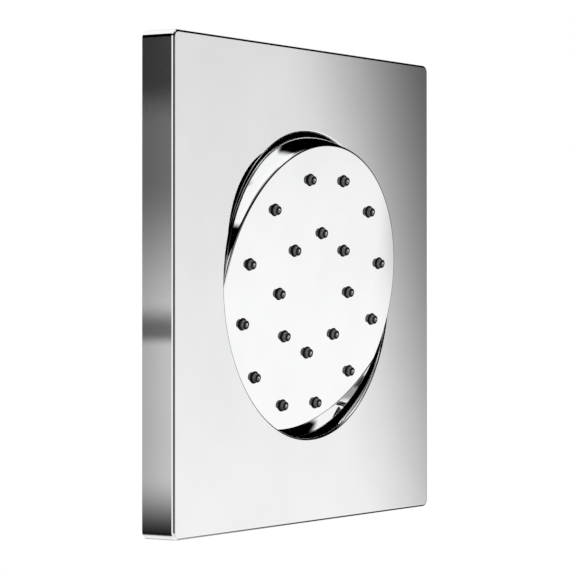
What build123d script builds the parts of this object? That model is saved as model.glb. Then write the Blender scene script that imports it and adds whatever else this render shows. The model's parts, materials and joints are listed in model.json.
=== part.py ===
from build123d import *
import math
import os

# Flush wall-mounted body spray: a square cover plate with a round spray head on a ball joint.
# Millimetres, +Z up, front towards -Y, wall at y = 0, origin on the inlet's axis.
# Turned pieces are half profiles of (radius, y) revolved about the Y axis. The pieces of the
# head are drawn round the ball's centre and then swung to the resting pose.

# Resting pose of the head, in degrees
rest_tilt = 9.25
rest_pan = -2.28
rest_spin = -0.85
swing_each_way = 12.0

# Cover plate
plate_width = 127.0
plate_height = 127.0
plate_depth = 9.6
plate_wall = 2.0
plate_front = 2.2
plate_corner = 2.0
plate_edge = 0.7
collar_wall = 1.5
collar_setback = 0.8
collar_gap = 0.35
lip_round = 0.96
drain_width = 12.0
drain_height = 1.2

# Spray face and its nozzles
head_radius = 40.0
head_skirt = 9.0
face_wall = 1.0
skirt_wall = 1.4
face_edge = 0.35
face_crown = 1.0
face_proud = 0.85
pivot_depth = 12.0
outer_ring = 31.3
outer_groups = 4
outer_step_angle = 30.5
inner_ring = 16.2
inner_count = 8
nozzle_base = 1.6
nozzle_base_height = 0.2
nozzle_root = 1.22
nozzle_tip = 1.16
nozzle_height = 1.4
nozzle_orifice = 0.3
nozzle_hole_gap = 0.1

# Layers behind the face
mat_thick = 0.8
mat_edge_gap = 0.4
jet_thick = 1.0
jet_hole = 1.0
jet_edge_gap = 0.3
chamber_depth = 2.2
shell_wall = 1.8
shell_rim = 3.8
shell_rim_gap = 0.3
rib_count = 6
rib_wide = 1.6
rib_high = 2.0
rib_inset = 1.5
head_seal_section = 0.9
seal_land = 0.6

# Screws of the head
head_screw_count = 6
head_screw_ring = 23.75
head_screw_shank = 1.25
head_screw_head = 2.4
head_screw_head_high = 1.5
head_screw_hole_gap = 0.2
boss_wall = 1.25
boss_gap = 0.3
boss_floor = 0.6
recess_long = 2.6
recess_wide = 0.7
recess_deep = 0.8

# Ball joint
ball_radius = 8.0
ball_play = 0.1
ring_wall = 1.3
ring_edge_angle = 7.0
pan_ring_end_angle = 40.0
tilt_ring_end_angle = 57.0
hub_wall = 2.5
hub_front_gap = 0.8
hub_front_land = 5.5
hub_tail = 0.8
nut_wall = 1.8
nut_cover = 3.8
nut_mouth = 7.2
nut_lip = 0.6
nut_back_radius = 10.6
nut_bevel = 3.3
nut_notches = 6
nut_notch_wide = 3.0
nut_notch_deep = 1.0
nut_notch_long = 4.0

# Stem, nipple and lock nut
stem_bore = 2.4
stem_neck = 3.9
shoulder_gap = 0.6
shoulder_across = 12.0
shoulder_thick = 1.2
stem_thread = 4.4
stem_thread_long = 7.0
stem_washer_thick = 0.8
nipple_flange_land = 3.0
nipple_flange_thick = 2.0
nipple_washer_thick = 1.0
nipple_shank = 12.0
nipple_shank_tail = 0.4
inlet_radius = 10.48
inlet_length = 11.0
inlet_chamfer = 0.8
inlet_bore = 8.0
bore_step_wall = 1.0
locknut_across = 30.0
locknut_thick = 3.6
locknut_edge = 0.8

# Limiter and filter in the nipple
limiter_gap = 0.1
limiter_long = 4.4
limiter_hole = 1.1
limiter_hole_ring = 4.4
limiter_hole_count = 6
limiter_seal_section = 0.8
limiter_land = 0.9
filter_setback = 1.2
filter_rim_thick = 1.6
filter_rim_wide = 1.8
filter_dome_rise = 2.4
filter_dome_wall = 0.6

# Rear cup
cup_wall = 1.6
cup_nest_gap = 0.4
cup_nest_back = 0.5
cup_bowl_gap = 0.7
cup_floor_gap = 0.8
cup_floor = 1.8
cup_chamfer = 2.5
cup_flange_edge = 4.1
cup_flange_thick = 1.8
well_gap = 1.4
well_wall = 2.0
well_floor = 2.0
well_hole_gap = 0.2
gusset_count = 8
gusset_wide = 1.8
gusset_inset = 1.0
gusset_top_gap = 0.6
gusset_sink = 0.4
cup_screw_offset = 3.8
cup_screw_count = 4
cup_screw_shank = 1.5
cup_screw_head = 2.8
cup_screw_head_high = 1.6
cup_screw_hole_gap = 0.2
cup_screw_tip = 0.3

# Mounting plate, wall gasket and cover screws
bracket_margin = 4.5
bracket_thick = 2.0
bracket_corner = 6.0
bracket_hole_gap = 0.4
wall_screw_spacing = 92.0
wall_screw_hole = 2.3
tab_offset = 30.0
tab_wide = 14.0
tab_thick = 2.0
tab_long = 5.0
hook_reach = 3.8
hook_thick = 1.5
catch_wide = 16.0
catch_high = 2.5
catch_thick = 1.7
catch_gap = 0.2
set_screw = 2.0
set_screw_depth = 2.6
set_screw_inset = 0.3
set_screw_past_tab = 1.0
set_screw_gap = 0.15
set_screw_socket = 1.15
set_screw_socket_deep = 2.4
gasket_thick = 1.5
gasket_outer_gap = 0.2
gasket_inner_gap = 0.7

# Sizes that follow from the ones above
pivot_y = pivot_depth - plate_depth - face_proud
collar_sphere = math.hypot(pivot_depth, head_radius) + collar_gap
collar_outer = collar_sphere + collar_wall
crown_sphere = (head_radius ** 2 + face_crown ** 2) / (2 * face_crown)
corner_swing = math.acos(math.cos(math.radians(swing_each_way)) ** 2)
face_back = face_wall - pivot_depth
skirt_inner = head_radius - skirt_wall
skirt_back = head_skirt - pivot_depth
mat_back = face_back + mat_thick
jet_back = mat_back + jet_thick
chamber_floor = jet_back + chamber_depth
shell_back = chamber_floor + shell_wall
shell_radius = skirt_inner - shell_rim_gap
chamber_radius = shell_radius - shell_rim
ring_inner = ball_radius + ball_play
ring_outer = ring_inner + ring_wall
socket_sphere = ring_outer + ball_play
hub_radius = socket_sphere + hub_wall
hub_front = jet_back + hub_front_gap
nut_outer = hub_radius + nut_wall
nut_seat = math.sqrt(socket_sphere ** 2 - nut_mouth ** 2)
nut_back = nut_seat + nut_lip
shoulder_corner = shoulder_across / math.sqrt(3)
stem_reach = (nut_back + shoulder_gap + shoulder_corner * math.sin(corner_swing)) / math.cos(corner_swing)
shoulder_y = pivot_y + stem_reach
stem_seat = shoulder_y + shoulder_thick
nipple_front = stem_seat + stem_washer_thick
nipple_flange = nipple_shank + nipple_flange_land
well_radius = nipple_flange + well_gap
flange_back = nipple_front + nipple_flange_thick
well_inner_y = flange_back + nipple_washer_thick
well_outer_y = well_inner_y + well_floor
shank_back = well_outer_y + locknut_thick + nipple_shank_tail
nipple_back = shank_back + inlet_length
bore_step = nipple_front + stem_thread_long + bore_step_wall
limiter_back = bore_step + limiter_long
filter_back = nipple_back - filter_setback
cup_nest = collar_outer + cup_nest_gap
cup_outer = cup_nest + cup_wall
bowl_radius = collar_sphere + cup_bowl_gap
bowl_outer = bowl_radius + cup_wall
swing_back = skirt_back * math.cos(corner_swing) + head_radius * math.sin(corner_swing)
bowl_floor = pivot_y + swing_back + cup_floor_gap
bowl_back = bowl_floor + cup_floor
flange_front = -bracket_thick - cup_flange_thick
cup_screw_ring = cup_outer + cup_screw_offset
cup_flange = cup_screw_ring + cup_flange_edge
inside_width = plate_width - 2 * plate_wall
inside_height = plate_height - 2 * plate_wall
bracket_width = inside_width - 2 * bracket_margin
bracket_height = inside_height - 2 * bracket_margin
bracket_top = bracket_height / 2

FULL_TURN = 360.0
cut_over = 1.0


def turned(*points):
    """Revolve a closed (radius, y) outline about the Y axis."""
    outline = make_face(Polyline(*points, close=True))
    return revolve(outline, Axis.Y, FULL_TURN)


def rod(radius, start, end):
    """Cylinder along Y from start to end."""
    return turned((0, start), (radius, start), (radius, end), (0, end))


def tube(inner, outer, start, end):
    """Ring along Y from start to end."""
    return turned((inner, start), (outer, start), (outer, end), (inner, end))


def o_ring(ring_radius, section, y):
    """Round-section ring about the Y axis."""
    outline = Pos(ring_radius, y) * Circle(section)
    return revolve(outline, Axis.Y, FULL_TURN)


def ball_band(inner, outer, start_angle, end_angle):
    """Band between two concentric spheres, between two angles from the ball's equator."""
    sweep = end_angle - start_angle
    inside = CenterArc((0, 0), inner, start_angle, sweep)
    outside = CenterArc((0, 0), outer, start_angle, sweep)
    outline = make_face([inside, outside, Line(inside @ 0, outside @ 0), Line(inside @ 1, outside @ 1)])
    return revolve(outline, Axis.Y, FULL_TURN)


def block(width, depth, height, x, y, z):
    """Box centred on x, with its front at y and its foot at z."""
    return Pos(x, y + depth / 2, z + height / 2) * Box(width, depth, height)


def ring_places(count, radius, first_angle):
    """Places on a circle round the Y axis; the angle runs from the top towards +X."""
    step = FULL_TURN / count
    return [Rot(0, first_angle + step * k, 0) * Pos(0, 0, radius) for k in range(count)]


def at_places(places, piece):
    """Copies of a piece at each place."""
    return [place * piece for place in places]


def crown_rise(radius):
    """Rise of the crowned face above the plane of its rim, at a distance from the middle."""
    return math.sqrt(crown_sphere ** 2 - radius ** 2) - crown_sphere + face_crown


def pan_screw(shank, head, head_high, seat, tip):
    """Pan-head screw along Y, with its head behind or before the seat and a cross recess."""
    out = math.copysign(head_high, seat - tip)
    top = seat + out
    body = rod(shank, min(seat, tip), max(seat, tip)) + rod(head, min(seat, top), max(seat, top))
    circles = body.edges().filter_by(GeomType.CIRCLE)
    rim = circles.filter_by(lambda e: abs(e.center().Y - top) < recess_deep / 2)
    body = fillet(rim, head_high / 2)
    slot_y = top if out < 0 else top - recess_deep
    cross = block(recess_long, recess_deep, recess_wide, 0, slot_y, -recess_wide / 2)
    cross += block(recess_wide, recess_deep, recess_long, 0, slot_y, -recess_long / 2)
    return body - cross


# The three frames of the ball joint at rest
pan_frame = Pos(0, pivot_y, 0) * Rot(0, 0, rest_pan)
tilt_frame = pan_frame * Rot(rest_tilt, 0, 0)
head_frame = tilt_frame * Rot(0, rest_spin, 0)

# Cover plate: a shell with a collar, bored to a sphere round the ball's centre
plate_body = block(plate_width, plate_depth, plate_height, 0, -plate_depth, -plate_height / 2)
plate_body = fillet(plate_body.edges().filter_by(Axis.Y), plate_corner)
plate_body = fillet(plate_body.faces().sort_by(Axis.Y)[0].edges(), plate_edge)
cavity_depth = plate_depth - plate_front
cavity = block(inside_width, cavity_depth, inside_height, 0, -cavity_depth, -inside_height / 2)
cavity -= rod(collar_outer, -cavity_depth, -collar_setback)
cover_plate = plate_body - cavity - Pos(0, pivot_y, 0) * Sphere(collar_sphere)
rims = cover_plate.edges().filter_by(GeomType.CIRCLE).filter_by(lambda e: e.radius > head_radius / 2)
cover_plate = fillet(rims.sort_by(Axis.Y)[0], lip_round)

# The plate's catches hook behind the bracket's tabs at the top, and set screws hold the bottom
hook_front = -bracket_thick - tab_long + hook_thick
catch_front = hook_front + catch_gap
set_screw_y = -bracket_thick - set_screw_depth
inside_top = inside_height / 2
for side in (-tab_offset, tab_offset):
    cover_plate += block(catch_wide, catch_thick, catch_high, side, catch_front, inside_top - catch_high)
    hole = Pos(side, set_screw_y, -plate_height / 2) * Cylinder(set_screw + set_screw_gap, plate_wall * 4)
    cover_plate -= hole
drain_foot = -inside_top - plate_wall * 3 / 2
drain = block(drain_width, drain_height * 2, plate_wall * 2, 0, -drain_height, drain_foot)
cover_plate -= drain

# Mounting plate with its bent tabs
bracket = block(bracket_width, bracket_thick, bracket_height, 0, -bracket_thick, -bracket_top)
bracket = fillet(bracket.edges().filter_by(Axis.Y), bracket_corner)
bracket -= rod(cup_outer + bracket_hole_gap, -bracket_thick * 2, bracket_thick)
half_spacing = wall_screw_spacing / 2
wall_places = [Pos(x, 0, z) for x in (-half_spacing, half_spacing) for z in (-half_spacing, half_spacing)]
bracket -= at_places(wall_places, rod(wall_screw_hole, -bracket_thick * 2, bracket_thick))
cup_places = ring_places(cup_screw_count, cup_screw_ring, FULL_TURN / cup_screw_count / 2)
bracket -= at_places(cup_places, rod(cup_screw_shank, -bracket_thick * 2, bracket_thick))
for side in (-tab_offset, tab_offset):
    tab_front = -bracket_thick - tab_long
    top_tab = block(tab_wide, tab_long + bracket_thick, tab_thick, side, tab_front, bracket_top - tab_thick)
    hook = block(tab_wide, hook_thick, hook_reach + tab_thick, side, tab_front, bracket_top - tab_thick)
    low_tab = block(tab_wide, tab_long + bracket_thick, tab_thick, side, tab_front, -bracket_top)
    screw_hole = Pos(side, set_screw_y, -bracket_top) * Cylinder(set_screw, tab_thick * 4)
    bracket += [top_tab, hook, low_tab]
    bracket -= screw_hole
mounting_plate = bracket

# Foam gasket just inside the plate's back edge, open at the drain
gasket_outer_w = inside_width - 2 * gasket_outer_gap
gasket_outer_h = inside_height - 2 * gasket_outer_gap
gasket_inner_w = bracket_width + 2 * gasket_inner_gap
gasket_inner_h = bracket_height + 2 * gasket_inner_gap
wall_gasket = block(gasket_outer_w, gasket_thick, gasket_outer_h, 0, -gasket_thick, -gasket_outer_h / 2)
gasket_cut = gasket_thick * 3
wall_gasket -= block(gasket_inner_w, gasket_cut, gasket_inner_h, 0, -gasket_thick * 2, -gasket_inner_h / 2)
wall_gasket -= block(drain_width, gasket_cut, plate_height / 2, 0, -gasket_thick * 2, -plate_height / 2)

# Set screws along Z, with a hexagon socket
screw_foot = set_screw_inset - plate_height / 2
screw_head = tab_thick + set_screw_past_tab - bracket_top
one_set_screw = extrude(Pos(0, 0, screw_foot) * Circle(set_screw), screw_head - screw_foot)
one_set_screw -= extrude(Pos(0, 0, screw_foot) * RegularPolygon(set_screw_socket, 6), set_screw_socket_deep)
cover_screws = [Pos(x, set_screw_y, 0) * one_set_screw for x in (-tab_offset, tab_offset)]

# Rear cup: flange on the mounting plate, nest for the collar, bowl, and a well for the nipple
well_outer = well_radius + well_wall
rear_cup = turned(
    (cup_nest, flange_front),
    (cup_flange, flange_front),
    (cup_flange, -bracket_thick),
    (cup_outer, -bracket_thick),
    (cup_outer, cup_nest_back + cup_wall),
    (bowl_outer, cup_nest_back + cup_wall),
    (bowl_outer, bowl_back - cup_chamfer),
    (bowl_outer - cup_chamfer, bowl_back),
    (well_outer, bowl_back),
    (well_outer, well_outer_y),
    (nipple_shank + well_hole_gap, well_outer_y),
    (nipple_shank + well_hole_gap, well_inner_y),
    (well_radius, well_inner_y),
    (well_radius, bowl_floor),
    (bowl_radius, bowl_floor),
    (bowl_radius, cup_nest_back),
    (cup_nest, cup_nest_back),
)
gusset_outline = make_face(Polyline(
    (well_outer - gusset_sink, bowl_back - gusset_sink),
    (bowl_outer - cup_chamfer - gusset_inset, bowl_back - gusset_sink),
    (bowl_outer - cup_chamfer - gusset_inset, bowl_back),
    (well_outer, well_outer_y - gusset_top_gap),
    (well_outer - gusset_sink, well_outer_y - gusset_top_gap),
    close=True,
))
gusset = extrude(gusset_outline, gusset_wide / 2, both=True)
gusset_turns = [Rot(0, FULL_TURN / gusset_count * k, 0) for k in range(gusset_count)]
rear_cup += at_places(gusset_turns, gusset)
cup_hole = rod(cup_screw_shank + cup_screw_hole_gap, flange_front - bracket_thick, 0)
rear_cup -= at_places(cup_places, cup_hole)
one_cup_screw = pan_screw(cup_screw_shank, cup_screw_head, cup_screw_head_high, flange_front, -cup_screw_tip)
cup_screws = at_places(cup_places, one_cup_screw)

# Ball stem, bored for the water
stem = Pos(0, pivot_y, 0) * Sphere(ball_radius)
stem += rod(stem_neck, pivot_y, stem_seat)
shoulder = RegularPolygon(shoulder_corner, 6)
stem += Pos(0, shoulder_y, 0) * Rot(-90, 0, 0) * extrude(shoulder, shoulder_thick)
stem += rod(stem_thread, stem_seat, nipple_front + stem_thread_long)
ball_stem = stem - rod(stem_bore, pivot_y - ball_radius * 2, nipple_back)
stem_washer = tube(stem_thread, shoulder_across / 2, stem_seat, nipple_front)

# Inlet nipple, its washer and its lock nut
inlet_nipple = turned(
    (stem_thread, nipple_front),
    (nipple_flange, nipple_front),
    (nipple_flange, flange_back),
    (nipple_shank, flange_back),
    (nipple_shank, shank_back),
    (inlet_radius, shank_back),
    (inlet_radius, nipple_back - inlet_chamfer),
    (inlet_radius - inlet_chamfer, nipple_back),
    (inlet_bore, nipple_back),
    (inlet_bore, bore_step),
    (stem_thread, bore_step),
)
nipple_washer = tube(nipple_shank, nipple_flange, flange_back, well_inner_y)
nut_face = RegularPolygon(locknut_across / 2, 6, major_radius=False)
lock_nut = Pos(0, well_outer_y, 0) * Rot(-90, 0, 0) * extrude(nut_face, locknut_thick)
locknut_turn = locknut_across / 2 + locknut_edge
lock_nut &= turned(
    (0, well_outer_y),
    (locknut_turn, well_outer_y),
    (locknut_turn * 2, well_outer_y + locknut_thick / 2),
    (locknut_turn, well_outer_y + locknut_thick),
    (0, well_outer_y + locknut_thick),
)
lock_nut -= rod(nipple_shank, well_outer_y - locknut_thick, nipple_back)

# Flow limiter with its seal, and the domed filter at the mouth
limiter_radius = inlet_bore - limiter_gap
limiter_groove = inlet_bore - 2 * limiter_seal_section
groove_start = bore_step + limiter_land
groove_end = groove_start + 2 * limiter_seal_section
flow_limiter = turned(
    (0, bore_step),
    (limiter_radius, bore_step),
    (limiter_radius, groove_start),
    (limiter_groove, groove_start),
    (limiter_groove, groove_end),
    (limiter_radius, groove_end),
    (limiter_radius, limiter_back),
    (0, limiter_back),
)
limiter_places = ring_places(limiter_hole_count, limiter_hole_ring, 0)
flow_limiter -= at_places(limiter_places, rod(limiter_hole, bore_step - cut_over, limiter_back + cut_over))
limiter_seal_y = (groove_start + groove_end) / 2
limiter_seal = o_ring(inlet_bore - limiter_seal_section, limiter_seal_section, limiter_seal_y)
filter_front = filter_back - filter_rim_thick
dome_radius = limiter_radius - filter_rim_wide
dome_sphere = (dome_radius ** 2 + filter_dome_rise ** 2) / (2 * filter_dome_rise)
dome_centre = filter_front - filter_dome_rise + dome_sphere
dome = Pos(0, dome_centre, 0) * (Sphere(dome_sphere) - Sphere(dome_sphere - filter_dome_wall))
dome &= rod(dome_radius, filter_front - filter_dome_rise * 2, filter_back)
dome -= rod(dome_radius * 2, filter_back, filter_back + dome_sphere * 2)
inlet_filter = tube(dome_radius - filter_dome_wall, limiter_radius, filter_front, filter_back) + dome

# Bearing rings on the ball and the seal between them
pan_ring_start = swing_each_way + ring_edge_angle
pan_ring = pan_frame * ball_band(ring_inner, ring_outer, pan_ring_start, pan_ring_end_angle)
tilt_ring = tilt_frame * ball_band(ring_inner, ring_outer, -tilt_ring_end_angle, -ring_edge_angle)
seal_radius = (ball_radius + socket_sphere) / 2
ball_seal = tilt_frame * o_ring(seal_radius, ring_wall / 2, 0)

# Spray face: a shallow crowned cup pierced for the nozzles, with bosses for the head's screws
group_angle = FULL_TURN / outer_groups
outer_places = []
for turn in (-outer_step_angle, 0, outer_step_angle):
    outer_places += ring_places(outer_groups, outer_ring, group_angle / 2 + turn)
inner_places = ring_places(inner_count, inner_ring, 0)
nozzle_places = outer_places + inner_places
boss_places = ring_places(head_screw_count, head_screw_ring, FULL_TURN / head_screw_count / 2)
boss_radius = head_screw_shank + boss_wall
crown_front = -pivot_depth - face_crown
face = rod(head_radius, crown_front, skirt_back)
face &= Pos(0, crown_front + crown_sphere, 0) * Sphere(crown_sphere)
face_rims = face.edges().filter_by(GeomType.CIRCLE).filter_by(lambda e: e.radius < head_radius * 2)
face = fillet(face_rims.sort_by(Axis.Y)[0], face_edge)
face -= rod(skirt_inner, face_back, 0)
face += at_places(boss_places, rod(boss_radius, face_back, chamber_floor))
face -= at_places(boss_places, rod(head_screw_shank, face_back + boss_floor, 0))
face -= at_places(nozzle_places, rod(nozzle_base + nozzle_hole_gap, crown_front - cut_over, face_back))
spray_face = head_frame * face

# Nozzle mat: one soft sheet whose nozzles stand equally proud of the crowned face
mat = rod(skirt_inner - mat_edge_gap, face_back, mat_back)
mat -= at_places(boss_places, rod(boss_radius + boss_gap, face_back - cut_over, mat_back + cut_over))
for ring, places in ((outer_ring, outer_places), (inner_ring, inner_places)):
    nozzle_foot = -pivot_depth - crown_rise(ring)
    collar_top = nozzle_foot - nozzle_base_height
    nozzle_top = nozzle_foot - nozzle_height
    nozzle = turned(
        (0, nozzle_top),
        (nozzle_tip, nozzle_top),
        (nozzle_root, collar_top),
        (nozzle_base, collar_top),
        (nozzle_base, mat_back),
        (0, mat_back),
    )
    mat += at_places(places, nozzle)
    mat -= at_places(places, rod(nozzle_orifice, nozzle_top - cut_over, mat_back + cut_over))
nozzle_mat = head_frame * mat

# Jet plate behind the mat
jet = rod(skirt_inner - jet_edge_gap, mat_back, jet_back)
jet -= at_places(boss_places, rod(boss_radius + boss_gap, mat_back - cut_over, jet_back + cut_over))
jet -= at_places(nozzle_places, rod(jet_hole, mat_back - cut_over, jet_back + cut_over))
jet_plate = head_frame * jet

# Back shell: rim, water chamber, hub with the ball's seat, and ribs
seal_floor = skirt_inner - 2 * head_seal_section
seal_front = jet_back + seal_land
seal_back = seal_front + 2 * head_seal_section
hub_front_radius = math.sqrt(socket_sphere ** 2 - hub_front ** 2) + hub_front_land
shell = turned(
    (0, hub_front),
    (hub_front_radius, hub_front),
    (hub_front_radius, chamber_floor),
    (chamber_radius, chamber_floor),
    (chamber_radius, jet_back),
    (shell_radius, jet_back),
    (shell_radius, seal_front),
    (seal_floor, seal_front),
    (seal_floor, seal_back),
    (shell_radius, seal_back),
    (shell_radius, shell_back),
    (hub_radius, shell_back),
    (hub_radius, hub_tail),
    (0, hub_tail),
)
rib_long = shell_radius - rib_inset - hub_radius + hub_wall / 2
rib = block(rib_wide, rib_high, rib_long, 0, shell_back, hub_radius - hub_wall / 2)
rib_turns = [Rot(0, FULL_TURN / rib_count * k, 0) for k in range(rib_count)]
shell += at_places(rib_turns, rib)
shell -= Sphere(socket_sphere)
shell -= rod(socket_sphere, 0, hub_tail * 2)
screw_hole_radius = head_screw_shank + head_screw_hole_gap
shell -= at_places(boss_places, rod(screw_hole_radius, chamber_floor - cut_over, shell_back + cut_over))
back_shell = head_frame * shell
head_seal_y = (seal_front + seal_back) / 2
head_seal = head_frame * o_ring(skirt_inner - head_seal_section, head_seal_section, head_seal_y)
screw_tip = face_back + boss_floor
one_head_screw = pan_screw(head_screw_shank, head_screw_head, head_screw_head_high, shell_back, screw_tip)
head_screws = at_places([head_frame * place for place in boss_places], one_head_screw)

# Socket nut: closes on the pan ring behind the ball, notched for a pin spanner
nut_front = hub_tail - nut_cover
nut = turned(
    (nut_mouth / 2, hub_tail),
    (hub_radius, hub_tail),
    (hub_radius, nut_front),
    (nut_outer, nut_front),
    (nut_outer, nut_back - nut_bevel),
    (nut_back_radius, nut_back),
    (nut_mouth / 2, nut_back),
)
nut -= Sphere(socket_sphere)
nut -= rod(nut_mouth, 0, nut_back * 2)
notch = block(nut_notch_wide, nut_notch_long, nut_notch_deep * 2, 0, nut_front, nut_outer - nut_notch_deep)
notch_turns = [Rot(0, FULL_TURN / nut_notches * k, 0) for k in range(nut_notches)]
nut -= at_places(notch_turns, notch)
socket_nut = head_frame * nut

pieces = {
    "cover_plate": cover_plate,
    "wall_gasket": wall_gasket,
    "mounting_plate": mounting_plate,
    "cover_screws": cover_screws,
    "rear_cup": rear_cup,
    "cup_screws": cup_screws,
    "ball_stem": ball_stem,
    "stem_washer": stem_washer,
    "inlet_nipple": inlet_nipple,
    "nipple_washer": nipple_washer,
    "lock_nut": lock_nut,
    "flow_limiter": flow_limiter,
    "limiter_seal": limiter_seal,
    "inlet_filter": inlet_filter,
    "pan_ring": pan_ring,
    "tilt_ring": tilt_ring,
    "ball_seal": ball_seal,
    "spray_face": spray_face,
    "nozzle_mat": nozzle_mat,
    "jet_plate": jet_plate,
    "back_shell": back_shell,
    "head_seal": head_seal,
    "head_screws": head_screws,
    "socket_nut": socket_nut,
}

os.makedirs("parts", exist_ok=True)
for name, piece in pieces.items():
    solids = piece if isinstance(piece, list) else [piece]
    if len(solids) == 1:
        export_step(solids[0], f"parts/{name}.step")
    else:
        export_step(Compound(children=solids), f"parts/{name}.step")
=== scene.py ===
"""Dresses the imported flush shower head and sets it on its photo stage."""

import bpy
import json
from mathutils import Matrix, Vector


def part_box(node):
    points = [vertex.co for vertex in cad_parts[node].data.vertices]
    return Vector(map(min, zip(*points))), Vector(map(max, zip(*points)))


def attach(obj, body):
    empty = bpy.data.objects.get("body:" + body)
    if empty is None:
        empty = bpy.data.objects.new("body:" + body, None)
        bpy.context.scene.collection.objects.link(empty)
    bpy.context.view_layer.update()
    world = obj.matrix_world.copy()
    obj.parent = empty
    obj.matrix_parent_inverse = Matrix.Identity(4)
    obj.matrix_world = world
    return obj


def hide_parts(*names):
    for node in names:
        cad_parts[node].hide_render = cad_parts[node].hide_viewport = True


bl_info = {
    "name": "Flush Shower Head",
    "version": (1, 0, 0),
    "blender": (4, 5, 0),
    "location": "View3D > Sidebar > Shower Head",
    "description": "Chrome plate, swivelling spray disc, nozzles and inlet on a soft studio stage",
    "category": "Object",
}

import json
import math

import bpy
from bpy.props import FloatProperty, FloatVectorProperty, IntProperty, PointerProperty
from mathutils import Matrix, Vector
from mathutils.geometry import delaunay_2d_cdt

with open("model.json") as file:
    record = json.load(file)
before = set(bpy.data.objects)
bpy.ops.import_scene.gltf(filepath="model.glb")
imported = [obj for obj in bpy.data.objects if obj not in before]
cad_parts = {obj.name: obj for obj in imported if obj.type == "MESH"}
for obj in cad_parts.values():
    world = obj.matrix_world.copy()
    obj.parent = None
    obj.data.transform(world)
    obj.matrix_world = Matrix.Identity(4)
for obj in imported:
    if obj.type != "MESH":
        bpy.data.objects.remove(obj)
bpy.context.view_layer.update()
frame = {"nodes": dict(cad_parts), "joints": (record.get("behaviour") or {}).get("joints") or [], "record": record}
NODES = frame["nodes"]
JOINTS = {joint["name"]: joint for joint in frame["joints"]}

MM = 0.001
QUARTER = math.pi / 2
FULL = 2 * math.pi
WELD = 1e7  # parts of a metre to which welded points are rounded
NEAR = 1e-9  # two places this close are one
NO_TURN = 1e-6  # a corner that turns less than this stays straight
NO_AREA = 1e-16  # a face smaller than this is left out
SHARP = math.radians(40)  # edges that turn more than this stay sharp
STAND_UP = Matrix.Rotation(QUARTER, 4, "X")  # turns the Y axis up, for the node trees
LIE_BACK = Matrix.Rotation(-QUARTER, 4, "X")  # and back into the frame

# Steps round the turned pieces and the holes
DISC_STEPS = 288
TURNED_STEPS = 128
FILTER_STEPS = 96
NOZZLE_STEPS = 40
HOLE_STEPS = 36
SCREW_STEPS = 40

# Finishes
CLOUD = (0.35, 0.7)  # noise values between which a finish wanders
MOTTLE = 90.0
METAL_SHADE = 0.97
TIP_SHADE = 0.85
GRAIN_LIFT = 1.35
MARK_DEPTH = 0.02 * MM
GRAIN_DEPTH = 0.03 * MM

# Stage
FLOOR_STEPS = 96
SENSOR = 36.0
NEAREST = 0.01
FLAG_STEP = 3  # degrees across each face of a flag
FLAG_GAP = 0.02  # metres between one flag and the next
ZENITH = 89


def length(name, description, default):
    """A size in metres, given here in millimetres."""
    return FloatProperty(name=name, description=description, default=default * MM, unit="LENGTH", precision=5)


def angle(name, description, default):
    """An angle, given here in degrees."""
    return FloatProperty(name=name, description=description, default=math.radians(default), subtype="ANGLE")


def colour(name, description, default):
    """A linear colour."""
    return FloatVectorProperty(
        name=name, description=description, default=default, subtype="COLOR", min=0, max=1)


def whole(name, description, default):
    """A number of like pieces."""
    return IntProperty(name=name, description=description, default=default, min=3)


class PlateSizes(bpy.types.PropertyGroup):
    """Sizes of the square cover plate."""

    half: length("Half width", "From the plate's middle to its side", 63.5)
    depth: length("Depth", "From the wall to the plate's front", 9.6)
    wall: length("Side wall", "Thickness of the side walls", 2.0)
    front: length("Front wall", "Thickness of the front", 2.2)
    corner: length("Corner radius", "Rounding of the four corners", 2.0)
    edge: length("Edge radius", "Rounding of the front edge", 0.7)
    bore: length("Collar bore", "Radius of the spherical bore round the ball's centre", 42.38)
    collar: length("Collar outside", "Outer radius of the collar", 43.611)
    setback: length("Collar setback", "From the wall to the collar's end", 0.8)
    lip: length("Lip radius", "Rounding of the opening's edge", 0.55)
    screw_offset: length("Set screw offset", "From the middle to each set screw", 30.0)
    screw_depth: length("Set screw depth", "From the wall to the set screws' axis", 4.6)
    screw_hole: length("Set screw hole", "Radius of the set screw holes", 2.15)
    drain_half: length("Drain half width", "Half the width of the drain notch", 6.0)
    drain_high: length("Drain height", "Height of the drain notch", 1.2)


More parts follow.
